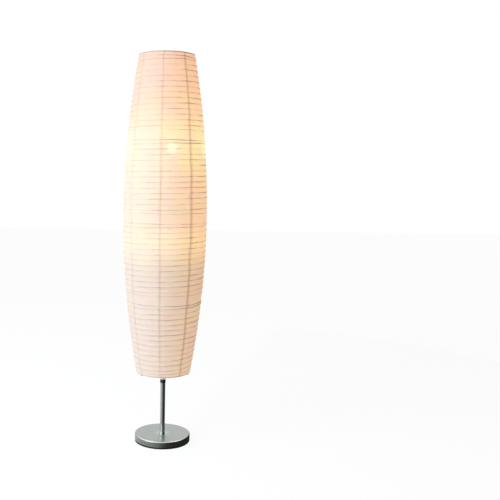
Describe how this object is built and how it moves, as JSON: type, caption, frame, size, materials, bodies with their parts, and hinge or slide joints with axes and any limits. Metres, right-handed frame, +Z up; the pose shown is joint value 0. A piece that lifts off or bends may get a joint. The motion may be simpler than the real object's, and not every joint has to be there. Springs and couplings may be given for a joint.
{
  "type": "floor lamp",
  "caption": "Tall barrel-shaped paper lantern shade with wound wire ribs round a slim silver pole on a round weighted base, lit by bulbs inside.",
  "frame": {"origin": "on the floor under the middle of the base, on the pole's axis", "axes": "+Z up along the pole, -Y to the front, +X to the right seen from the front"},
  "size_m": [0.262, 0.262, 1.221],
  "materials": {
    "paper": "thin crumpled lantern paper, translucent",
    "rib_wire": "fine wire under paper",
    "white_wire": "white enamel",
    "silver_paint": "satin silver",
    "black_plastic": "matt black",
    "black_rubber": "matt black",
    "cast_iron": "raw casting",
    "zinc_steel": "zinc plated",
    "nylon": "natural nylon",
    "phenolic": "black phenolic",
    "shell_metal": "rolled aluminium",
    "brass": "plain brass",
    "bulb_glass": "frosted glass, lit",
    "lead_cover": "flexible lead cover"
  },
  "bodies": {
    "stand": {"base_pad": "black_rubber", "base_weight": "cast_iron", "base_cover": "silver_paint", "cord_grommet": "black_rubber", "base_washer": "zinc_steel", "base_nut": "zinc_steel", "pole_nipple": "zinc_steel", "pole_foot_insert": "zinc_steel", "pole_lower": "silver_paint", "pole_middle": "silver_paint", "pole_upper": "silver_paint", "pole_coupler_lower": "zinc_steel", "pole_coupler_upper": "zinc_steel", "stem_tip": "zinc_steel", "rest_sleeve": "black_plastic", "lower_frame": "white_wire", "bracket_screws": "zinc_steel", "socket_nuts": "zinc_steel", "pole_bushes": "black_rubber", "bracket_upper": "zinc_steel", "socket_body_upper": "phenolic", "socket_shell_upper": "shell_metal", "socket_contact_upper": "brass", "lead_upper": "lead_cover", "bracket_lower": "zinc_steel", "socket_body_lower": "phenolic", "socket_shell_lower": "shell_metal", "socket_contact_lower": "brass", "lead_lower": "lead_cover"},
    "seat": {"seat_washer": "nylon"},
    "shade_top": {"upper_frame": "white_wire", "top_ring": "white_wire", "top_hem": "paper", "paper_panel_1": "paper", "paper_panel_2": "paper", "paper_panel_3": "paper", "paper_panel_4": "paper", "paper_panel_5": "paper", "paper_panel_6": "paper", "paper_panel_7": "paper", "paper_panel_8": "paper", "rib_spiral_1": "rib_wire", "rib_spiral_2": "rib_wire", "rib_spiral_3": "rib_wire", "rib_spiral_4": "rib_wire", "section_rings_1": "rib_wire", "section_rings_2": "rib_wire", "section_rings_3": "rib_wire", "section_rings_4": "rib_wire"},
    "shade_bottom": {"bottom_ring": "white_wire", "bottom_hem": "paper"},
    "bulb_rise_upper": {"bulb_tip_upper": "brass"},
    "bulb_upper": {"bulb_glass_upper": "bulb_glass", "bulb_cap_upper": "shell_metal"},
    "bulb_rise_lower": {"bulb_tip_lower": "brass"},
    "bulb_lower": {"bulb_glass_lower": "bulb_glass", "bulb_cap_lower": "shell_metal"}
  },
  "joints": [
    {"name": "shade_turn", "type": "hinge", "parent": "stand", "child": "seat", "pos_m": [0, 0, 1.183], "axis": [0, 0, 1], "continuous": true},
    {"name": "shade_lift", "type": "slide", "parent": "seat", "child": "shade_top", "axis": [0, 0, 1], "range_m": [0, 1]},
    {"name": "shade_fold", "type": "slide", "parent": "shade_top", "child": "shade_bottom", "axis": [0, 0, 1], "range_m": [0, 0.85], "deforming": ["paper_panel_1", "paper_panel_2", "paper_panel_3", "paper_panel_4", "paper_panel_5", "paper_panel_6", "paper_panel_7", "paper_panel_8", "rib_spiral_1", "rib_spiral_2", "rib_spiral_3", "rib_spiral_4", "section_rings_1", "section_rings_2", "section_rings_3", "section_rings_4"]},
    {"name": "bulb_rise_upper", "type": "slide", "parent": "stand", "child": "bulb_rise_upper", "axis": [0, 0, 1], "range_m": [0, 0.02541]},
    {"name": "bulb_screw_upper", "type": "hinge", "parent": "bulb_rise_upper", "child": "bulb_upper", "pos_m": [0.01878, -0.03532, 0], "axis": [0, 0, 1], "range_deg": [0, 2520]},
    {"name": "bulb_rise_lower", "type": "slide", "parent": "stand", "child": "bulb_rise_lower", "axis": [0, 0, 1], "range_m": [0, 0.02541]},
    {"name": "bulb_screw_lower", "type": "hinge", "parent": "bulb_rise_lower", "child": "bulb_lower", "pos_m": [0.00487, 0.0397, 0], "axis": [0, 0, 1], "range_deg": [0, 2520]}
  ],
  "couplings": [
    {"joint": "bulb_rise_upper", "follows": "bulb_screw_upper", "m_per_rad": 0.00057773},
    {"joint": "bulb_rise_lower", "follows": "bulb_screw_lower", "m_per_rad": 0.00057773}
  ]
}
